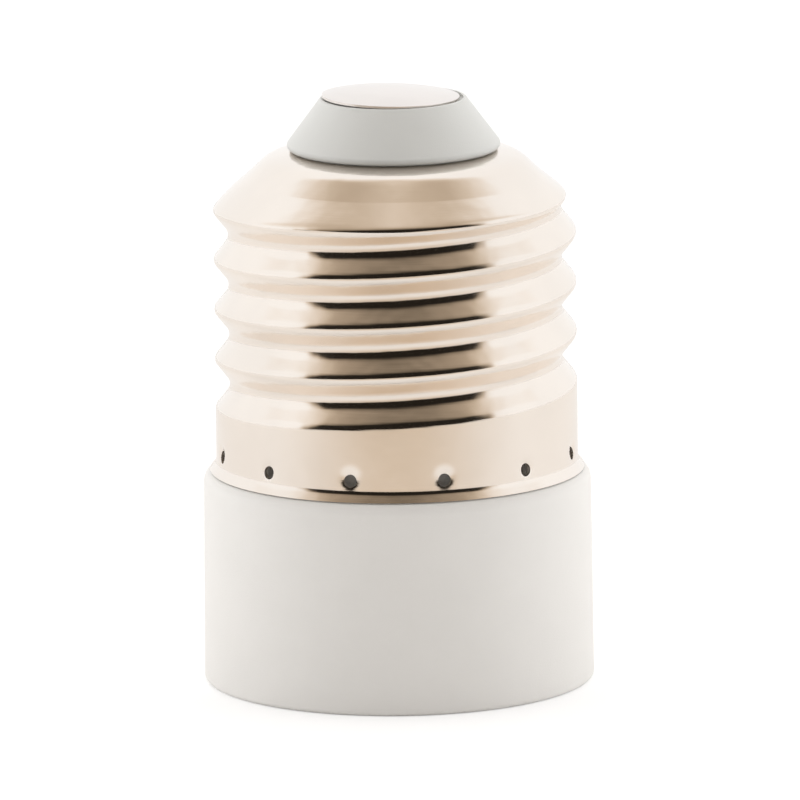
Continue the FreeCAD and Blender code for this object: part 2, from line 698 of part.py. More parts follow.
doc.recompute()
for thing in doc.Objects:
    if "Invalid" in thing.State or "Error" in thing.State:
        raise RuntimeError(f"{thing.Name} did not compute")
os.makedirs("parts", exist_ok=True)
for piece in SUB_PARTS:
    if piece.Shape.isNull() or not piece.Shape.isValid():
        raise RuntimeError(f"{piece.Label} has no valid shape")
    piece.Shape.exportStep(f"parts/{piece.Label}.step")
    print(piece.Label, len(piece.Shape.Solids), round(piece.Shape.Volume, 2))
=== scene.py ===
import math
import bmesh
import bpy
from mathutils import Matrix, Quaternion, Vector


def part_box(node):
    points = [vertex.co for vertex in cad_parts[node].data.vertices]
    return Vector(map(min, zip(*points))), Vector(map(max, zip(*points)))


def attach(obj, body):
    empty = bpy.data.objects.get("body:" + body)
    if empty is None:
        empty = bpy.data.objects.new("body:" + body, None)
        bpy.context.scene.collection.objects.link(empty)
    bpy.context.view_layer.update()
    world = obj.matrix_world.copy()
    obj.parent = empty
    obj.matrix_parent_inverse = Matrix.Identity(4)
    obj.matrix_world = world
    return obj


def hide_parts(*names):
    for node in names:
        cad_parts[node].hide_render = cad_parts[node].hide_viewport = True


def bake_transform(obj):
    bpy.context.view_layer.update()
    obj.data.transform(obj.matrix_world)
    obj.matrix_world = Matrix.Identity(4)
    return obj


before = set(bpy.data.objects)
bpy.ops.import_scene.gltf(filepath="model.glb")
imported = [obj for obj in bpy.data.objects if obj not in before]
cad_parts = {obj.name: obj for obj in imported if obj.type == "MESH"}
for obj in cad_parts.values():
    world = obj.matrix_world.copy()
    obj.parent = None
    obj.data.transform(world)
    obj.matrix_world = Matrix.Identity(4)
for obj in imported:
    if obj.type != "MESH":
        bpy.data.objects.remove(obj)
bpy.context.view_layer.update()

# Body: one white moulding that stands on its open foot. An outer wall, a web across the top with the
# collar that goes up inside the metal cap, and a stepped sleeve with a partition for the small lamp.
# It is injection moulded from a hard matt plastic, and its edges and inner corners are slightly rounded.
RIM_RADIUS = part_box("body_moulding")[1].x
PARTITION_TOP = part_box("body_moulding")[1].z
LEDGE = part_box("male_screw_shell")[0].z
PARTITION_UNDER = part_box("female_screw_shell")[1].z
SLEEVE_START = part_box("female_screw_shell")[0].z
SOCKET_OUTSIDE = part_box("female_screw_shell")[1].x
RIVET_PLACE = (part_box("shell_rivet_right")[0].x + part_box("shell_rivet_right")[1].x) / 2
CENTRE_RIVET_PLACE = (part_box("centre_contact_rivet")[0].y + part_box("centre_contact_rivet")[1].y) / 2
PLAY = 0.00005
BODY_TOP_RADIUS = 0.01397
SHOULDER_ROUND = 0.0009
RIM_ROUND = 0.0004
MOULD_ROUND = 0.0002
OUTER_WALL = 0.0017
WEB = 0.0022
MOUTH_RADIUS = 0.0089
MOUTH_DEPTH = 0.006
SLEEVE_WALL = 0.0014
CAP_RADIUS = 0.01305
CAP_SHEET = 0.0003
COLLAR_WALL = 0.0018
COLLAR_TOP = LEDGE + 0.0036
RIVET_RADIUS = 0.0008
STAKES = 12
STAKE_HEIGHT = LEDGE + 0.00145
RECESS_RADIUS = 0.0012
RECESS_DEPTH = 0.0014
WHITE = (0.875, 0.865, 0.845)
AROUND = 240
PEG_SIDES = 32
DRILL_SIDES = 48
DRILL_LENGTH = 0.008
SHARP_EDGE = 35
MERGE_DISTANCE = 1e-7


def rounded_outline(corners, step=math.radians(12)):
    """Points of an outline through corners (across, up, rounding), each rounding an arc of short steps.

    It is a closed outline, or a path if its first and last corners have no rounding.
    """
    points = []
    for here, (across, up, rounding) in enumerate(corners):
        corner = Vector((across, up))
        to_last = (Vector(corners[here - 1][:2]) - corner).normalized()
        to_next = (Vector(corners[(here + 1) % len(corners)][:2]) - corner).normalized()
        if not rounding:
            points.append(corner)
            continue
        half = to_last.angle(to_next) / 2
        centre = corner + (to_last + to_next).normalized() * rounding / math.sin(half)
        first = corner + to_last * rounding / math.tan(half) - centre
        last = corner + to_next * rounding / math.tan(half) - centre
        start = math.atan2(first.y, first.x)
        turn = (math.atan2(last.y, last.x) - start + math.pi) % math.tau - math.pi
        steps = max(2, math.ceil(abs(turn) / step))
        for k in range(steps + 1):
            angle = start + turn * k / steps
            points.append(centre + rounding * Vector((math.cos(angle), math.sin(angle))))
    return points


def turned_mesh(name, outline, angles=None):
    """A closed skin: an outline of (radius, height) points turned about Z through the given angles."""
    angles = angles or [math.tau * k / AROUND for k in range(AROUND)]
    shape = bmesh.new()
    rings = []
    for angle in angles:
        x, y = math.cos(angle), math.sin(angle)
        rings.append([shape.verts.new((across * x, across * y, up)) for across, up in outline])
    for here, ring in enumerate(rings):
        beside = rings[(here + 1) % len(rings)]
        for low in range(len(outline)):
            high = (low + 1) % len(outline)
            shape.faces.new((ring[low], beside[low], beside[high], ring[high]))
    bmesh.ops.remove_doubles(shape, verts=shape.verts, dist=MERGE_DISTANCE)
    loose = [edge for edge in shape.edges if not edge.link_faces]
    bmesh.ops.delete(shape, geom=loose, context="EDGES")
    bmesh.ops.recalc_face_normals(shape, faces=shape.faces)
    mesh = bpy.data.meshes.new(name)
    shape.to_mesh(mesh)
    shape.free()
    return mesh


def placed(name, mesh, sharp=SHARP_EDGE):
    """A piece from a mesh, smooth except where its faces meet at more than that many degrees."""
    mesh.polygons.foreach_set("use_smooth", [True] * len(mesh.polygons))
    mesh.set_sharp_from_angle(angle=math.radians(sharp))
    piece = bpy.data.objects.new(name, mesh)
    bpy.context.scene.collection.objects.link(piece)
    return piece


class Term:
    """A number, vector or colour in a node tree that can be written into a formula with the usual signs."""

    def __init__(self, net, socket):
        self.net = net
        self.socket = socket

    def __add__(self, other):
        return self.net.math("ADD", self, other)

    def __sub__(self, other):
        return self.net.math("SUBTRACT", self, other)

    def __rsub__(self, other):
        return self.net.math("SUBTRACT", other, self)

    def __mul__(self, other):
        return self.net.math("MULTIPLY", self, other)

    def __truediv__(self, other):
        return self.net.math("DIVIDE", self, other)


class Net:
    """A node tree, of a material or of a shape, that grows by one node with each call."""

    def __init__(self, tree):
        self.tree = tree

    def node(self, kind, inputs=None, output=0, **settings):
        """A new node with its inputs fed, by name or number, and one of its outputs to go on with."""
        made = self.tree.nodes.new(kind)
        for name, setting in settings.items():
            setattr(made, name, setting)
        for key, given in (inputs or {}).items():
            self.feed(made.inputs[key], given)
        return Term(self, made.outputs[output])

    def feed(self, socket, given):
        """Links a term to a socket, or writes a plain value on it."""
        if isinstance(given, Term):
            self.tree.links.new(given.socket, socket)
        else:
            socket.default_value = given

    def math(self, operation, *terms):
        return self.node("ShaderNodeMath", dict(enumerate(terms)), operation=operation)

    def step(self, value, low, high):
        """0 below low, 1 above high and a smooth rise between them."""
        inputs = {0: value, 1: low, 2: high}
        return self.node("ShaderNodeMapRange", inputs, interpolation_type="SMOOTHSTEP")

    def spot(self, where):
        """The X, Y and Z of a position."""
        parts = self.tree.nodes.new("ShaderNodeSeparateXYZ")
        self.feed(parts.inputs[0], where)
        return [Term(self, output) for output in parts.outputs]

    def vector(self, x, y, z):
        return self.node("ShaderNodeCombineXYZ", {0: x, 1: y, 2: z})

    def mix(self, share, first, second):
        """A colour between two colours. The node's sockets 6 and 7 are the ones for colours."""
        inputs = {0: share, 6: first, 7: second}
        return self.node("ShaderNodeMix", inputs, output=2, data_type="RGBA")

    def noise(self, where, scale, detail):
        inputs = {"Vector": where, "Scale": scale, "Detail": detail}
        return self.node("ShaderNodeTexNoise", inputs)

    def bump(self, height, distance, below=None):
        inputs = {"Height": height, "Distance": distance}
        if below:
            inputs["Normal"] = below
        return self.node("ShaderNodeBump", inputs)


def tinted(colour, factor):
    """A colour made lighter or darker by a factor, as the four numbers of a colour socket."""
    return (*(min(1.0, part * factor) for part in colour), 1.0)


def new_finish(name):
    """An empty finish: its material, its net of nodes, its shader's sockets and the place on the piece."""
    material = bpy.data.materials.new(name)
    material.use_nodes = True
    net = Net(material.node_tree)
    shader = material.node_tree.nodes["Principled BSDF"].inputs
    place = net.node("ShaderNodeTexCoord", output="Object")
    return material, net, shader, place


def moulded_plastic(name, colour, roughness):
    """Matt moulded plastic: a slight cloud in its colour, the fine grain of the tool and a dull gloss."""
    material, net, shader, place = new_finish(name)
    cloud = net.noise(place, scale=260, detail=3)
    grain = net.noise(place, scale=9000, detail=2)
    swell = net.noise(place, scale=420, detail=1)
    gloss_spread = 0.12
    net.feed(shader["Base Color"], net.mix(cloud, tinted(colour, 0.975), tinted(colour, 1.02)))
    net.feed(shader["Roughness"], grain * gloss_spread + (roughness - gloss_spread / 2))
    shader["IOR"].default_value = 1.5
    grained = net.bump(grain, distance=0.000012)
    net.feed(shader["Normal"], net.bump(swell, distance=0.00002, below=grained))
    return material


def geometry_tree(name, sizes):
    """A Geometry Nodes tree with a named input for each size: its net, and its inputs by their names."""
    tree = bpy.data.node_groups.new(name, "GeometryNodeTree")
    tree.interface.new_socket("Geometry", in_out="INPUT", socket_type="NodeSocketGeometry")
    tree.interface.new_socket("Geometry", in_out="OUTPUT", socket_type="NodeSocketGeometry")
    for label, number in sizes.items():
        kind = "NodeSocketInt" if isinstance(number, int) else "NodeSocketFloat"
        tree.interface.new_socket(label, in_out="INPUT", socket_type=kind)
    net = Net(tree)
    way_in = tree.nodes.new("NodeGroupInput").outputs
    inputs = {output.name: Term(net, output) for output in way_in if output.name}
    return net, inputs


def end_tree(net, shape, material):
    """Ends a tree: its instances become one mesh, which gets the finish."""
    real = net.node("GeometryNodeRealizeInstances", {0: shape})
    finished = net.node("GeometryNodeSetMaterial", {"Geometry": real, "Material": material})
    way_out = net.tree.nodes.new("NodeGroupOutput")
    net.feed(way_out.inputs[0], finished)


def run_tree(piece, net, sizes):
    """Runs a tree on a piece with these sizes, and keeps the result as the piece's own plain mesh."""
    modifier = piece.modifiers.new(net.tree.name, "NODES")
    modifier.node_group = net.tree
    for item in net.tree.interface.items_tree:
        if item.in_out == "INPUT" and item.name in sizes:
            modifier[item.identifier] = sizes[item.name]
    graph = bpy.context.evaluated_depsgraph_get()
    made = bpy.data.meshes.new_from_object(piece.evaluated_get(graph), depsgraph=graph)
    piece.modifiers.remove(modifier)
    piece.data = made
    return piece


def points_at(net, count, position):
    """As many points as count, each where the position puts it."""
    line = net.node("GeometryNodeMeshLine", {"Count": count})
    return net.node("GeometryNodeSetPosition", {"Geometry": line, "Position": position})


def stake_pegs(net, given, radius, depth):
    """A peg across the wall at each stake. The first stake is half a step round from +X."""
    turn = (net.node("GeometryNodeInputIndex") + 0.5) * math.tau / given["Stakes"]
    x = net.math("COSINE", turn) * given["Wall radius"]
    y = net.math("SINE", turn) * given["Wall radius"]
    points = points_at(net, given["Stakes"], net.vector(x, y, given["Stake height"]))
    peg = net.node("GeometryNodeMeshCylinder", {"Vertices": PEG_SIDES, "Radius": radius, "Depth": depth})
    lying = net.node("FunctionNodeEulerToRotation", {0: net.vector(0.0, math.pi / 2, turn)})
    return net.node("GeometryNodeInstanceOnPoints", {"Points": points, "Instance": peg, "Rotation": lying})


def rivet_drills(net, given):
    """A drill upright in the place of each of the three rivets: left, centre and right."""
    index = net.node("GeometryNodeInputIndex")
    is_centre = net.math("COMPARE", index, 1.0, 0.1)
    x = (index - 1.0) * given["Rivet place"]
    y = is_centre * given["Centre rivet place"]
    points = points_at(net, 3, net.vector(x, y, given["Rivet height"]))
    size = {"Vertices": DRILL_SIDES, "Radius": given["Rivet radius"], "Depth": given["Rivet length"]}
    drill = net.node("GeometryNodeMeshCylinder", size)
    return net.node("GeometryNodeInstanceOnPoints", {"Points": points, "Instance": drill})


def cut_away(net, shape, *cutters):
    """The shape less everything that the cutters fill."""
    together = net.tree.nodes.new("GeometryNodeJoinGeometry")
    for cutter in cutters:
        net.tree.links.new(cutter.socket, together.inputs[0])
    solid = net.node("GeometryNodeRealizeInstances", {0: Term(net, together.outputs[0])})
    meshes = {"Mesh 1": shape, "Mesh 2": solid}
    return net.node("GeometryNodeMeshBoolean", meshes, operation="DIFFERENCE", solver="MANIFOLD")


def drilled_tree(sizes, material):
    """Cuts the rivets' holes and the recesses behind the cap's stakes out of the moulding."""
    net, given = geometry_tree("rivet_holes_and_stake_recesses", sizes)
    recesses = stake_pegs(net, given, given["Recess radius"], given["Recess depth"] * 2.0)
    end_tree(net, cut_away(net, given["Geometry"], recesses, rivet_drills(net, given)), material)
    return net


white_plastic = moulded_plastic("white_moulded_plastic", WHITE, roughness=0.42)
rivet_sizes = {
    "Rivet place": RIVET_PLACE,
    "Centre rivet place": CENTRE_RIVET_PLACE,
    "Rivet height": PARTITION_UNDER,
    "Rivet radius": RIVET_RADIUS + PLAY,
    "Rivet length": DRILL_LENGTH,
}
body_cuts = rivet_sizes | {
    "Stakes": STAKES,
    "Wall radius": CAP_RADIUS,
    "Stake height": STAKE_HEIGHT,
    "Recess radius": RECESS_RADIUS,
    "Recess depth": RECESS_DEPTH,
}
collar_outside = CAP_RADIUS - CAP_SHEET - PLAY
collar_inside = collar_outside - COLLAR_WALL
sleeve_bore = SOCKET_OUTSIDE + PLAY
sleeve_outside = sleeve_bore + SLEEVE_WALL
body_outline = rounded_outline([
    (RIM_RADIUS, 0.0, RIM_ROUND),
    (BODY_TOP_RADIUS, LEDGE, SHOULDER_ROUND),
    (collar_outside, LEDGE, 0.0),
    (collar_outside, COLLAR_TOP, MOULD_ROUND),
    (collar_inside, COLLAR_TOP, MOULD_ROUND),
    (collar_inside, LEDGE, MOULD_ROUND),
    (sleeve_outside, LEDGE, MOULD_ROUND),
    (sleeve_outside, PARTITION_TOP, MOULD_ROUND),
    (0.0, PARTITION_TOP, 0.0),
    (0.0, PARTITION_UNDER, 0.0),
    (sleeve_bore, PARTITION_UNDER, 0.0),
    (sleeve_bore, SLEEVE_START, MOULD_ROUND / 2),
    (MOUTH_RADIUS, MOUTH_DEPTH, MOULD_ROUND),
    (MOUTH_RADIUS, 0.0, MOULD_ROUND),
    (MOUTH_RADIUS + SLEEVE_WALL, 0.0, MOULD_ROUND),
    (MOUTH_RADIUS + SLEEVE_WALL, LEDGE - WEB, MOULD_ROUND),
    (BODY_TOP_RADIUS - OUTER_WALL, LEDGE - WEB, MOULD_ROUND),
    (RIM_RADIUS - OUTER_WALL, 0.0, MOULD_ROUND),
])
body = placed("moulded_body", turned_mesh("moulded_body", body_outline))
run_tree(body, drilled_tree(body_cuts, white_plastic), body_cuts)
body.data.set_sharp_from_angle(angle=math.radians(SHARP_EDGE))
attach(body, "adapter")
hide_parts("body_moulding")


# Small socket: a thin nickel-plated sleeve with a rolled thread for the small lamp, open at the foot.
# Two lugs at its top are bent inwards under the partition, and a rivet through each holds it there.
SOCKET_PITCH = 0.002822
SOCKET_DEPTH = 0.0008
SOCKET_SHEET = 0.0003
LUG_REACH = 0.0035
LUG_WIDTH = 0.0036
SOCKET_STEP = 0.00014
LUG_STEP = 0.0005
OUT_OF_REACH = 1.0
NICKEL = (0.93, 0.86, 0.79)


def plated_sheet(name, colour, roughness, streaks=0.0000015, waviness=0.00003):
    """Bright nickel on rolled sheet: fine marks of the roller run round it, and it isn't quite even."""
    material, net, shader, place = new_finish(name)
    x, y, z = net.spot(place)
    stretch = 0.02
    rolled = net.noise(net.vector(x * stretch, y * stretch, z), scale=14000, detail=2)
    uneven = net.noise(place, scale=330, detail=2)
    film = net.noise(place, scale=150, detail=3)
    filmed = net.step(film, 0.35, 0.7)
    gloss_spread = 0.05
    shader["Metallic"].default_value = 1.0
    net.feed(shader["Base Color"], net.mix(filmed, tinted(colour, 1.015), tinted(colour, 0.97)))
    net.feed(shader["Roughness"], rolled * gloss_spread + (film * gloss_spread + (roughness - gloss_spread)))
    waved = net.bump(uneven, distance=waviness)
    net.feed(shader["Normal"], net.bump(rolled, distance=streaks, below=waved))
    return material


def thread_tree(sizes, material):
    """Rolls a thread into a turned sleeve: each point goes to the radius that the thread has there.

    The profile is a round crest and a round root with a straight flank between them. Its groove gets
    shallow at both ends, and where the sleeve has a sloping shoulder the thread ends in the slope.
    """
    net, given = geometry_tree("rolled_thread", sizes)

    def round_height(radius, off):
        """How far a round of that radius stands up at some distance from its middle."""
        return net.math("SQRT", net.math("MAXIMUM", radius * radius - off * off, 0.0))

    x, y, z = net.spot(net.node("GeometryNodeInputPosition"))
    inset = net.node("GeometryNodeInputNamedAttribute", {"Name": "inset"}, data_type="FLOAT")
    was = net.math("SQRT", x * x + y * y)
    crest = given["Crest radius"] - inset
    root = crest - given["Depth"]
    crest_round = given["Crest round"] - inset
    root_round = given["Root round"] + inset
    half = given["Pitch"] / 2.0
    # The flank leans just so far that it touches both rounds.
    rounds = given["Crest round"] + given["Root round"]
    short = rounds - given["Depth"]
    flank = net.math("ARCSINE", rounds / net.math("SQRT", half * half + short * short))
    flank = flank - net.math("ARCTAN2", short, half)
    lean = net.math("SINE", flank)
    crest_line = given["Crest height"] + net.math("ARCTAN2", y, x) * given["Pitch"] / math.tau
    away = net.math("PINGPONG", z - crest_line, half)
    to_root = half - away
    on_crest = crest - crest_round + round_height(crest_round, away)
    on_root = root + root_round - round_height(root_round, to_root)
    on_flank = (
        crest - crest_round * (1.0 - net.math("COSINE", flank))
        - (away - crest_round * lean) * net.math("TANGENT", flank)
    )
    at_crest = net.math("LESS_THAN", away, crest_round * lean)
    at_root = net.math("LESS_THAN", to_root, root_round * lean)
    rolled = on_flank + at_crest * (on_crest - on_flank) + at_root * (on_root - on_flank)
    groove = crest_line + half + net.math("FLOOR", (z - crest_line) / given["Pitch"]) * given["Pitch"]
    strength = net.step(groove, given["Fade in"], given["Full from"])
    strength = strength * (1.0 - net.step(groove, given["Full to"], given["Fade out"]))
    threaded = was + strength * (rolled - was)
    fall = given["Slope fall"]
    cone = (given["Slope reach"] - z) * fall - inset * net.math("SQRT", fall * fall + 1.0)
    slope = net.math("MAXIMUM", cone, was)
    blended = net.math("SMOOTH_MIN", threaded, slope, given["Slope blend"])
    across = net.math("MINIMUM", blended, was)
    place = net.vector(x * across / was, y * across / was, z)
    moved = net.node("GeometryNodeSetPosition", {"Geometry": given["Geometry"], "Position": place})
    end_tree(net, moved, material)
    return net


def sheet_mesh(name, outside, inside, sheet, angles=None):
    """A turned piece of sheet metal: up its outside, down its inside. Each point knows its depth in it."""
    outline = outside + inside
    mesh = turned_mesh(name, outline, angles)
    inset = mesh.attributes.new("inset", "FLOAT", "POINT")
    for vertex in mesh.vertices:
        inset.data[vertex.index].value = sheet if vertex.index % len(outline) >= len(outside) else 0.0
    return mesh


def bent_strip(name, path, width, thickness):
    """A strip of sheet along a path of (y, z) points, lying across X, with rounded edges."""
    section = rounded_outline([
        (side * width / 2, up * thickness / 2, thickness / 3)
        for side, up in ((-1, -1), (1, -1), (1, 1), (-1, 1))
    ], step=math.radians(30))
    shape = bmesh.new()
    rings = []
    for here, point in enumerate(path):
        way = (path[min(here + 1, len(path) - 1)] - path[max(here - 1, 0)]).normalized()
        above = Vector((-way.y, way.x))
        rings.append([shape.verts.new((across, *(point + above * up))) for across, up in section])
    for ring, following in zip(rings, rings[1:]):
        for k in range(len(ring)):
            n = (k + 1) % len(ring)
            shape.faces.new((ring[k], ring[n], following[n], following[k]))
    shape.faces.new(rings[0])
    shape.faces.new(rings[-1])
    bmesh.ops.recalc_face_normals(shape, faces=shape.faces)
    mesh = bpy.data.meshes.new(name)
    shape.to_mesh(mesh)
    shape.free()
    return mesh


def rivet_drilled_tree(sizes, material):
    """Cuts the holes for the three rivets out of a piece of sheet."""
    net, given = geometry_tree("rivet_holes_in_sheet", sizes)
    end_tree(net, cut_away(net, given["Geometry"], rivet_drills(net, given)), material)
    return net


def line_points(start, end, longest):
    """Points from start to end, both of them included, no further apart than longest."""
    start, end = Vector(start), Vector(end)
    steps = max(1, math.ceil((end - start).length / longest))
    return [start.lerp(end, k / steps) for k in range(steps + 1)]


def fine_path(path, longest):
    """The same path with points added, so that no two in a row are further apart than longest."""
    points = [point for a, b in zip(path, path[1:]) for point in line_points(a, b, longest)[:-1]]
    return points + path[-1:]


bright_nickel = plated_sheet("bright_nickel_plate", NICKEL, roughness=0.16)
socket_inside = SOCKET_OUTSIDE - SOCKET_SHEET
socket_thread = {
    "Crest radius": SOCKET_OUTSIDE,
    "Depth": SOCKET_DEPTH,
    "Crest round": 0.0009,
    "Root round": 0.00055,
    "Pitch": SOCKET_PITCH,
    "Crest height": SLEEVE_START,
    "Fade in": SLEEVE_START + 0.0006,
    "Full from": SLEEVE_START + 0.0028,
    "Full to": PARTITION_UNDER - 0.0055,
    "Fade out": PARTITION_UNDER - 0.003,
    "Slope reach": OUT_OF_REACH,
    "Slope fall": 1.0,
    "Slope blend": 0.0001,
}
socket_shell = placed("small_socket_shell", sheet_mesh(
    "small_socket_shell",
    line_points((SOCKET_OUTSIDE, SLEEVE_START), (SOCKET_OUTSIDE, PARTITION_UNDER), SOCKET_STEP),
    line_points((socket_inside, PARTITION_UNDER), (socket_inside, SLEEVE_START), SOCKET_STEP),
    SOCKET_SHEET,
), sharp=60)
run_tree(socket_shell, thread_tree(socket_thread, bright_nickel), socket_thread)
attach(socket_shell, "adapter")
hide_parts("female_screw_shell")
for name, side in (("left", -1), ("right", 1)):
    lug_line = line_points((side * (socket_inside - PLAY), 0.0), (side * LUG_REACH, 0.0), LUG_STEP)
    lug_mesh = bent_strip(f"socket_lug_{name}", lug_line, LUG_WIDTH, SOCKET_SHEET)
    lug_mesh.transform(Matrix.Rotation(-math.pi / 2, 4, "Z"))
    lug_mesh.transform(Matrix.Translation((0, 0, PARTITION_UNDER - SOCKET_SHEET / 2)))
    lug = placed(f"socket_lug_{name}", lug_mesh)
    run_tree(lug, rivet_drilled_tree(rivet_sizes, bright_nickel), rivet_sizes)
    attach(lug, "adapter")

# Centre contact: a strip of spring brass, riveted flat under the partition. It slopes down from a bend
# to a turned-up tip, and the small lamp's contact presses it up. Its bend is what gives.
BRASS = (0.78, 0.60, 0.32)
STRIP = 0.00035
TONGUE_WIDTH = 0.0032
TONGUE_FOOT_END = 0.0052
TONGUE_BEND = 0.0019
TONGUE_RUN = 0.0046
TONGUE_DROP = 0.002
TONGUE_TIP_RUN = 0.0009
TONGUE_TIP_RISE = 0.00035
TONGUE_ROUND = 0.0007
TONGUE_STEP = 0.0002


def drawn_metal(name, colour, roughness, grain_along):
    """Bare rolled strip or wire: fine drawn lines along one axis, and a thin dull film in patches."""
    material, net, shader, place = new_finish(name)
    parts = dict(zip("xyz", net.spot(place)))
    parts[grain_along] = parts[grain_along] * 0.03
    lines = net.noise(net.vector(*parts.values()), scale=16000, detail=2)
    film = net.noise(place, scale=700, detail=3)
    dulled = net.step(film, 0.4, 0.75)
    dulling = 0.06
    shader["Metallic"].default_value = 1.0
    net.feed(shader["Base Color"], net.mix(dulled, tinted(colour, 1.02), tinted(colour, 0.86)))
    net.feed(shader["Roughness"], lines * 0.08 + (film * dulling + (roughness - dulling)))
    net.feed(shader["Normal"], net.bump(lines, distance=0.0000025))
    return material


rolled_brass = drawn_metal("rolled_brass_strip", BRASS, roughness=0.26, grain_along="y")
strip_top = PARTITION_UNDER - STRIP / 2
tongue_path = rounded_outline([
    (TONGUE_FOOT_END, strip_top, 0.0),
    (TONGUE_BEND, strip_top, TONGUE_ROUND),
    (TONGUE_BEND - TONGUE_RUN, strip_top - TONGUE_DROP, TONGUE_ROUND),
    (TONGUE_BEND - TONGUE_RUN - TONGUE_TIP_RUN, strip_top - TONGUE_DROP + TONGUE_TIP_RISE, 0.0),
], step=math.radians(3))
tongue_mesh = bent_strip("centre_contact_spring", fine_path(tongue_path, TONGUE_STEP), TONGUE_WIDTH, STRIP)
tongue = placed("centre_contact_spring", tongue_mesh)
run_tree(tongue, rivet_drilled_tree(rivet_sizes, rolled_brass), rivet_sizes)
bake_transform(tongue)
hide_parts("centre_contact_tongue")

# Rivets: three plated rivets go through the partition. Two hold the socket's lugs and one the spring, and
# two of them also hold the terminal tags on the upper side. Each was set cold and has a head at both ends.
RIVET_HEAD_RADIUS = 0.0014
RIVET_HEAD = 0.0005
HEAD_ROUND = 0.00032
RIVET_AROUND = 64
TAG = 0.0004
PLATED_STEEL = (0.72, 0.70, 0.66)
plated_rivet = plated_sheet(
    "plated_rivet", PLATED_STEEL, roughness=0.28, streaks=0.000001, waviness=0.00002
)
under_lug = PARTITION_UNDER - SOCKET_SHEET
rivets = {
    "shell_rivet_left": (-RIVET_PLACE, 0.0, under_lug, PARTITION_TOP),
    "shell_rivet_right": (RIVET_PLACE, 0.0, under_lug, PARTITION_TOP + TAG),
    "centre_contact_rivet": (0.0, CENTRE_RIVET_PLACE, PARTITION_UNDER - STRIP, PARTITION_TOP + TAG),
}
for node, (x, y, low, high) in rivets.items():
    outline = rounded_outline([
        (0.0, low - RIVET_HEAD, 0.0),
        (RIVET_HEAD_RADIUS, low - RIVET_HEAD, HEAD_ROUND),
        (RIVET_HEAD_RADIUS, low, 0.0),
        (RIVET_RADIUS, low, 0.0),
        (RIVET_RADIUS, high, 0.0),
        (RIVET_HEAD_RADIUS, high, 0.0),
        (RIVET_HEAD_RADIUS, high + RIVET_HEAD, HEAD_ROUND),
        (0.0, high + RIVET_HEAD, 0.0),
    ])
    mesh = turned_mesh(node, outline, [math.tau * k / RIVET_AROUND for k in range(RIVET_AROUND)])
    mesh.transform(Matrix.Translation((x, y, 0)))
    piece = placed("set_" + node, mesh)
    piece.data.materials.append(plated_rivet)
    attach(piece, "adapter")
    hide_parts(node)

# Tags and leads: two bent brass tags under the rivet heads, and two short leads soldered to them. One goes
# up into the nail's shank and one down to the collar's slot. The cap hides them all, so they stay the plain
# solids that they are.
COPPER = (0.80, 0.47, 0.32)
JACKET = (0.70, 0.68, 0.63)
drawn_copper = drawn_metal("drawn_copper_wire", COPPER, roughness=0.3, grain_along="z")
lead_jacket = moulded_plastic("lead_jacket_plastic", JACKET, roughness=0.38)
for node, finish in {
    "live_terminal_tag": rolled_brass,
    "neutral_terminal_tag": rolled_brass,
    "live_lead_conductor": drawn_copper,
    "neutral_lead_conductor": drawn_copper,
    "live_lead_insulation": lead_jacket,
    "neutral_lead_insulation": lead_jacket,
}.items():
    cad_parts[node].data.materials.clear()
    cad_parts[node].data.materials.append(finish)

# Screw cap: one thin sheet, drawn to a cup and rolled with the round thread, then plated with bright nickel.
# Its flared lower edge stands on the body's shoulder, and twelve punched stakes lock it to the collar inside.
THREAD_PITCH = 0.003629
THREAD_DEPTH = 0.00105
FIRST_CREST = LEDGE + 0.00626
FLARE_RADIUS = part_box("male_screw_shell")[1].x
FLARE_HEIGHT = 0.0006
FLARE_ROUND = 0.0005
FLARE_SLANT = 0.4
SLOPE_TOP = LEDGE + 0.02275
SLOPE_RADIUS = 0.0092
LIP_TOP = LEDGE + 0.02325
LIP_RADIUS = 0.0073
SHOULDER_BEND = 0.0022
SHOULDER_THICKENING = math.tan(math.radians(67.5))
CREASE_RADIUS = 0.0108
CREASE_HEIGHT = LEDGE + 0.02125
CREASE_ROUND = 0.0005
SLOPE_FALL = 1.25
SHEET_STEP = 0.00018
STAKE_HOLE = 0.00047
STAKE_DENT = 0.0002
STAKE_SPREAD = 0.0012
DENT_RISE = 0.00025
PEG_LENGTH = 0.004


def stake_angles(coarse, fine, reach):
    """Angles all round: fine steps within reach of each stake, and coarse ones on either side of it."""
    angles = []
    edge = math.pi / STAKES
    for index in range(STAKES):
        middle = math.tau * (index + 0.5) / STAKES
        for start, end, steps in ((-edge, -reach, coarse), (-reach, reach, fine), (reach, edge, coarse)):
            angles.extend(middle + start + (end - start) * k / steps for k in range(steps))
    return angles


def staked_tree(sizes, material):
    """Punches the stakes: the sheet is drawn inwards round each, and a round hole goes through the middle."""
    net, given = geometry_tree("punched_stakes", sizes)
    x, y, z = net.spot(net.node("GeometryNodeInputPosition"))
    was = net.math("SQRT", x * x + y * y)
    sector = net.math("DIVIDE", math.tau, given["Stakes"])
    off_turn = net.math("PINGPONG", net.math("ARCTAN2", y, x) - sector / 2.0, sector / 2.0)
    aside = off_turn * given["Wall radius"]
    above = z - given["Stake height"] - given["Dent rise"]
    away = net.math("SQRT", aside * aside + above * above)
    drawn = 1.0 - net.step(away, 0.0, given["Stake spread"])
    outer = net.math("GREATER_THAN", was, given["Wall radius"] / 2.0)
    across = was - drawn * drawn * given["Stake dent"] * outer
    place = net.vector(x * across / was, y * across / was, z)
    dented = net.node("GeometryNodeSetPosition", {"Geometry": given["Geometry"], "Position": place})
    pegs = stake_pegs(net, given, given["Stake hole"], given["Peg length"])
    end_tree(net, cut_away(net, dented, pegs), material)
    return net


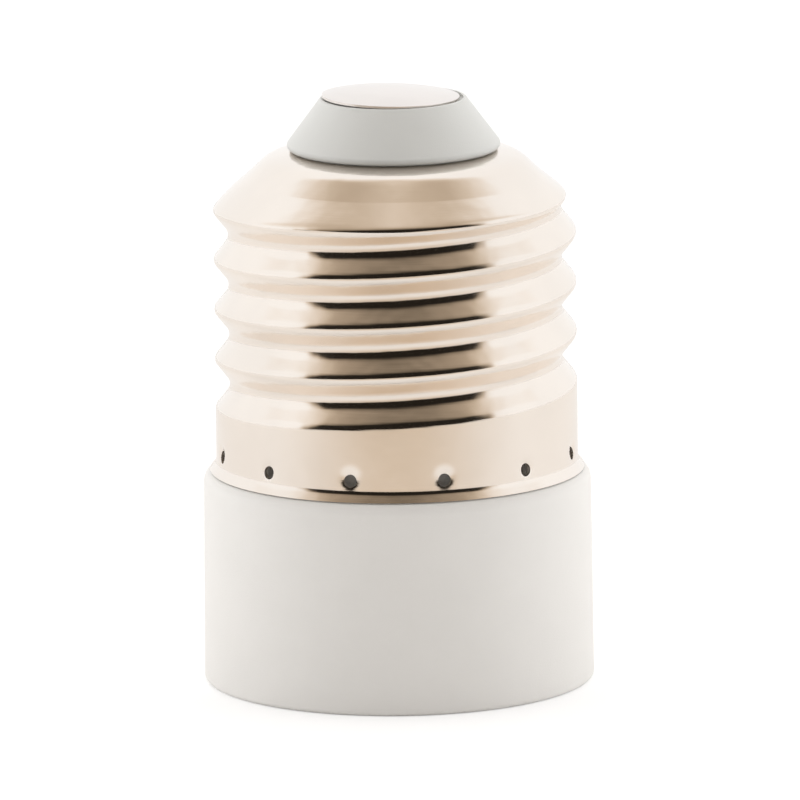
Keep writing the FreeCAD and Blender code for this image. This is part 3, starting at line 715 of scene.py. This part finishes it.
def cap_side(inset):
    """The points of one side of the cap from its lower edge to its lip, before the thread is rolled.

    The sheet's inside follows its outside, except under the shoulder's bend, where the sheet is thicker.
    """
    wall = CAP_RADIUS - inset
    crease = CREASE_HEIGHT - inset * math.sqrt(2)
    path = rounded_outline([
        (FLARE_RADIUS - inset, LEDGE + inset * FLARE_SLANT, 0.0),
        (wall, LEDGE + FLARE_HEIGHT, FLARE_ROUND + inset),
        (wall, crease - (wall - CREASE_RADIUS) / SLOPE_FALL, 0.0),
        (CREASE_RADIUS, crease, CREASE_ROUND),
        (SLOPE_RADIUS, SLOPE_TOP - inset * SHOULDER_THICKENING, SHOULDER_BEND - inset),
        (LIP_RADIUS, LIP_TOP - inset, 0.0),
    ], step=math.radians(6))
    return fine_path(path, SHEET_STEP)


cap_thread = {
    "Crest radius": CAP_RADIUS,
    "Depth": THREAD_DEPTH,
    "Crest round": 0.0005,
    "Root round": 0.0009,
    "Pitch": THREAD_PITCH,
    "Crest height": FIRST_CREST,
    "Fade in": LEDGE + 0.0044,
    "Full from": LEDGE + 0.0061,
    "Full to": OUT_OF_REACH,
    "Fade out": OUT_OF_REACH * 2,
    "Slope reach": CREASE_HEIGHT + CREASE_RADIUS / SLOPE_FALL,
    "Slope fall": SLOPE_FALL,
    "Slope blend": 0.0009,
}
stake_sizes = {
    "Stakes": STAKES,
    "Stake height": STAKE_HEIGHT,
    "Stake hole": STAKE_HOLE,
    "Stake dent": STAKE_DENT,
    "Stake spread": STAKE_SPREAD,
    "Dent rise": DENT_RISE,
    "Wall radius": CAP_RADIUS,
    "Peg length": PEG_LENGTH,
}
cap_nickel = plated_sheet("cap_nickel_plate", NICKEL, roughness=0.13, waviness=0.00005)
cap_angles = stake_angles(coarse=7, fine=10, reach=math.radians(4.5))
cap_mesh = sheet_mesh("screw_cap", cap_side(0.0), cap_side(CAP_SHEET)[::-1], CAP_SHEET, cap_angles)
cap = placed("screw_cap", cap_mesh, sharp=50)
run_tree(cap, thread_tree(cap_thread, cap_nickel), cap_thread)
run_tree(cap, staked_tree(stake_sizes, cap_nickel), stake_sizes)
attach(cap, "adapter")
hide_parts("male_screw_shell")

# Tip insulator: a grey moulded plug in the hole of the cap's shoulder. Its frustum stands on the sheet and
# its foot is spread below it, and a shallow seat in its top holds the contact.
GREY = (0.70, 0.71, 0.695)
PLUG_BASE = LIP_TOP + PLAY
PLUG_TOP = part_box("tip_insulator")[1].z
PLUG_FOOT_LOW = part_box("tip_insulator")[0].z
PLUG_RADIUS = 0.008
PLUG_TOP_RADIUS = 0.00525
PLUG_FOOT_RADIUS = 0.0079
PLUG_NECK = 0.00715
PLUG_FOOT_TOP = LIP_TOP - CAP_SHEET - PLAY
PLUG_FOOT_EDGE = PLUG_FOOT_TOP - 0.0003
PLUG_BORE = 0.00145
PLUG_EDGE_ROUND = 0.00033
NAIL_RADIUS = 0.00495
SEAT_PLAY = 0.0001
SEAT = PLUG_TOP - 0.0002
grey_plastic = moulded_plastic("grey_moulded_plastic", GREY, roughness=0.46)
plug = placed("tip_plug", turned_mesh("tip_plug", rounded_outline([
    (PLUG_BORE, PLUG_FOOT_LOW, 0.0),
    (PLUG_FOOT_RADIUS, PLUG_FOOT_LOW, MOULD_ROUND),
    (PLUG_FOOT_RADIUS, PLUG_FOOT_EDGE, 0.0),
    (PLUG_NECK, PLUG_FOOT_TOP, 0.0),
    (PLUG_NECK, PLUG_BASE, 0.0),
    (PLUG_RADIUS, PLUG_BASE, PLUG_EDGE_ROUND),
    (PLUG_TOP_RADIUS, PLUG_TOP, MOULD_ROUND / 2),
    (NAIL_RADIUS + SEAT_PLAY, PLUG_TOP, 0.0),
    (NAIL_RADIUS + SEAT_PLAY, SEAT, 0.0),
    (PLUG_BORE, SEAT, 0.0),
])))
plug.data.materials.append(grey_plastic)
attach(plug, "adapter")
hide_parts("tip_insulator")

# Tip contact: a plated nail with a low domed head and a hollow shank that grips the live lead. It was pressed
# in by hand, and its head rests on one side of the seat, so it stands a little tilted.
NAIL_EDGE = 0.0002
NAIL_CHAMFER = NAIL_EDGE / 5
NAIL_DOME = 0.00055
NAIL_ASIDE = -0.00018
NAIL_SHANK = 0.00115
NAIL_SHANK_LENGTH = 0.0062
NAIL_HOLLOW = 0.00055
NAIL_HOLLOW_DEPTH = 0.0032
NAIL_TILT = math.radians(1.4)
NAIL_NICKEL = (0.86, 0.81, 0.775)


def domed(radius, edge, rise, steps=24):
    """The upper line of a round head, from its edge to its middle, as an arc through its rise."""
    bend = (radius * radius + rise * rise) / (2 * rise)
    points = []
    for k in range(steps + 1):
        across = radius * (1 - k / steps)
        points.append(Vector((across, edge + rise - bend + math.sqrt(bend ** 2 - across ** 2))))
    return points


nail_nickel = plated_sheet("nail_nickel_plate", NAIL_NICKEL, roughness=0.2, waviness=0.000015)
head = domed(NAIL_RADIUS, NAIL_EDGE, NAIL_DOME)
nail_outline = rounded_outline([
    (NAIL_RADIUS, NAIL_CHAMFER, 0.0),
    (NAIL_RADIUS - NAIL_CHAMFER, 0.0, 0.0),
    (NAIL_SHANK, 0.0, 0.0),
    (NAIL_SHANK, -NAIL_SHANK_LENGTH, 0.0),
    (NAIL_HOLLOW, -NAIL_SHANK_LENGTH, 0.0),
    (NAIL_HOLLOW, NAIL_HOLLOW_DEPTH - NAIL_SHANK_LENGTH, 0.0),
    (0.0, NAIL_HOLLOW_DEPTH - NAIL_SHANK_LENGTH, 0.0),
])
nail_mesh = turned_mesh("tip_nail", head[::-1] + nail_outline)
seat_lift = NAIL_RADIUS * math.sin(NAIL_TILT) + PLAY
nail_mesh.transform(Matrix.Rotation(NAIL_TILT, 4, "Y"))
nail_mesh.transform(Matrix.Translation((NAIL_ASIDE, 0, SEAT + seat_lift)))
nail = placed("tip_nail", nail_mesh)
nail.data.materials.append(nail_nickel)
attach(nail, "adapter")
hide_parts("tip_contact")

# Floor, light and camera: a white table in a white room with soft light from all sides. Only the stretch
# where the camera stands is unlit, and the bright metal shows it as dark bands with brown edges. Mirrors also
# see a painted reflection of the table: it is painted grey, and brown in front of the object, which adds to
# these brown edges. A place in the room is a direction of length 1, and each pair of numbers says where a
# fade starts and ends.
FLOOR_RADIUS = 0.5
FLOOR_SOLID = 0.12
FLOOR_WHITE = (0.9, 0.9, 0.9, 1.0)
FLOOR_TO_CAMERA = (0.6, 0.6, 0.6, 1.0)
FLOOR_GLOW = 0.5
# Painted reflections: the colours that mirrors see on the table, grey all over and brown in front of the
# object.
FLOOR_PAINTED_GREY_IN_MIRROR = (0.84, 0.84, 0.84, 1.0)
FLOOR_PAINTED_BROWN_IN_MIRROR = (0.63, 0.55, 0.46, 1.0)
PAINTED_BROWN_FROM = (0.03, 0.1)
WARM_DARK = (1.0, 0.79, 0.57, 1.0)
PURE_WHITE = (1.0, 1.0, 1.0, 1.0)
FRONT_TURN = (0.1, 1.5)
UNLIT_SIDES = (0.68, 0.84)
UNLIT_TALLNESS = 0.65
UNLIT_BACK = (0.0, 0.4)
UNLIT_FOOT = (math.radians(-12), math.radians(-5))
UNLIT_TOP = (math.radians(48), math.radians(98))
UNLIT_TOP_FADE = 0.8
UPPER_CORNERS = (0.5, 0.85)
UPPER_CORNER_RISE = 1.2
MIRROR_LOSS = 0.985
MATT_LOSS = 0.6
MATT_LOSS_ABOVE = 0.35
MATT_ABOVE = (0.1, 0.6)
MATT_BEHIND = (0.1, 0.8)
MATT_LOSS_BEHIND = 0.2
LOW_FRONT = (0.0, 0.2)
LOW_FRONT_LOSS = 0.25
MATT_LIGHT = 1.8
WARM_IN_MIRROR = 1.0
WARM_ON_MATT = 0.3


def in_front(net, x, y):
    """1 straight in front of the object, 0 from its sides on."""
    turn = net.math("ABSOLUTE", net.math("ARCTAN2", x, 0.0 - y))
    return 1.0 - net.step(turn, *FRONT_TURN)


def white_table():
    """Matt white that keeps the shadow. The camera sees it full white, and mirrors see a painted reflection:
    the table painted grey, and painted brown in front of the object.
    """
    material, net, shader, place = new_finish("white_table")
    x, y, z = net.spot(place)
    away = net.math("SQRT", x * x + y * y)
    # Where mirrors see the table's front in a painted brown reflection.
    painted_brown_share = net.step(away, *PAINTED_BROWN_FROM) * in_front(net, x, y)
    path = material.node_tree.nodes.new("ShaderNodeLightPath").outputs
    through_glass = Term(net, path["Is Transmission Ray"])
    camera_sees = net.math("MAXIMUM", Term(net, path["Is Camera Ray"]), through_glass)
    mirror_sees = Term(net, path["Is Glossy Ray"])
    shader["Roughness"].default_value = 0.9
    shader["Specular IOR Level"].default_value = 0.0
    shader["Emission Color"].default_value = PURE_WHITE
    net.feed(shader["Emission Strength"], camera_sees * FLOOR_GLOW)
    # Painted reflection: glossy rays see the table painted grey, and painted brown in front of the object.
    colour = net.mix(mirror_sees, FLOOR_WHITE, net.mix(painted_brown_share, FLOOR_PAINTED_GREY_IN_MIRROR, FLOOR_PAINTED_BROWN_IN_MIRROR))
    net.feed(shader["Base Color"], net.mix(camera_sees, colour, FLOOR_TO_CAMERA))
    net.feed(shader["Alpha"], 1.0 - net.step(away, FLOOR_SOLID, FLOOR_RADIUS))
    return material


def unlit_stretch(net, x, y, z):
    """1 in the part of the room where the camera stands, fading out at its sides, back, foot and top."""
    height = net.math("ARCSINE", z)
    sides = 1.0 - net.step(x * x + z * z * UNLIT_TALLNESS, *UNLIT_SIDES)
    back = 1.0 - net.step(y, *UNLIT_BACK)
    foot = net.step(height, *UNLIT_FOOT)
    overhead = height + x * x * net.step(z, *UPPER_CORNERS) * UPPER_CORNER_RISE
    top = 1.0 - net.step(overhead, *UNLIT_TOP) * UNLIT_TOP_FADE
    return sides * back * foot * top


def white_room():
    """White light all round. Mirrors and matt surfaces see the unlit stretch, and the camera doesn't."""
    world = bpy.data.worlds.new("white_room")
    world.use_nodes = True
    net = Net(world.node_tree)
    x, y, z = net.spot(net.node("ShaderNodeTexCoord", output="Generated"))
    path = world.node_tree.nodes.new("ShaderNodeLightPath").outputs
    camera_sees = Term(net, path["Is Camera Ray"])
    mirror_sees = Term(net, path["Is Glossy Ray"])
    matt_loss = net.step(z, *MATT_ABOVE) * MATT_LOSS_ABOVE + MATT_LOSS
    loss = matt_loss + mirror_sees * (MIRROR_LOSS - matt_loss)
    loss_behind = net.step(y, *MATT_BEHIND) * (1.0 - mirror_sees) * MATT_LOSS_BEHIND
    low = 1.0 - net.step(net.math("ARCSINE", z), *LOW_FRONT)
    low_loss = in_front(net, x, y) * low * LOW_FRONT_LOSS * mirror_sees
    strength = (1.0 - unlit_stretch(net, x, y, z) * loss) * (1.0 - loss_behind) * (1.0 - low_loss)
    strength = net.math("MAXIMUM", strength, camera_sees)
    warmth = mirror_sees * (WARM_IN_MIRROR - WARM_ON_MATT) + WARM_ON_MATT
    warmth = (1.0 - strength * strength * strength) * warmth
    light = MATT_LIGHT - (mirror_sees + camera_sees) * (MATT_LIGHT - 1.0)
    background = world.node_tree.nodes["Background"].inputs
    net.feed(background["Color"], net.mix(warmth, PURE_WHITE, WARM_DARK))
    net.feed(background["Strength"], strength * light)
    return world


floor_mesh = bpy.data.meshes.new("table")
corners = [(-1, -1), (1, -1), (1, 1), (-1, 1)]
floor_mesh.from_pydata([(x * FLOOR_RADIUS, y * FLOOR_RADIUS, 0.0) for x, y in corners], [], [(0, 1, 2, 3)])
floor = bpy.data.objects.new("table", floor_mesh)
bpy.context.scene.collection.objects.link(floor)
floor.data.materials.append(white_table())

bpy.context.scene.world = white_room()

CAMERA_DISTANCE = 0.95
CAMERA_ELEVATION = math.radians(11.2)
CAMERA_ROLL = math.radians(0.65)
PIXELS = 800
PIXELS_PER_METRE = 13865
AIM = Vector((0.00025, 0.0, 0.02028))
camera_data = bpy.data.cameras.new("camera")
camera = bpy.data.objects.new("camera", camera_data)
bpy.context.scene.collection.objects.link(camera)
bpy.context.scene.camera = camera
back = Vector((0.0, -math.cos(CAMERA_ELEVATION), math.sin(CAMERA_ELEVATION)))
camera.location = AIM + back * CAMERA_DISTANCE
camera.rotation_mode = "QUATERNION"
camera.rotation_quaternion = (-back).to_track_quat("-Z", "Y") @ Quaternion((0, 0, 1), -CAMERA_ROLL)
camera_data.sensor_width = 36
camera_data.lens = camera_data.sensor_width * CAMERA_DISTANCE / (PIXELS / PIXELS_PER_METRE)
camera_data.clip_start = 0.1
camera_data.clip_end = 10
bpy.context.scene.view_settings.view_transform = "Standard"
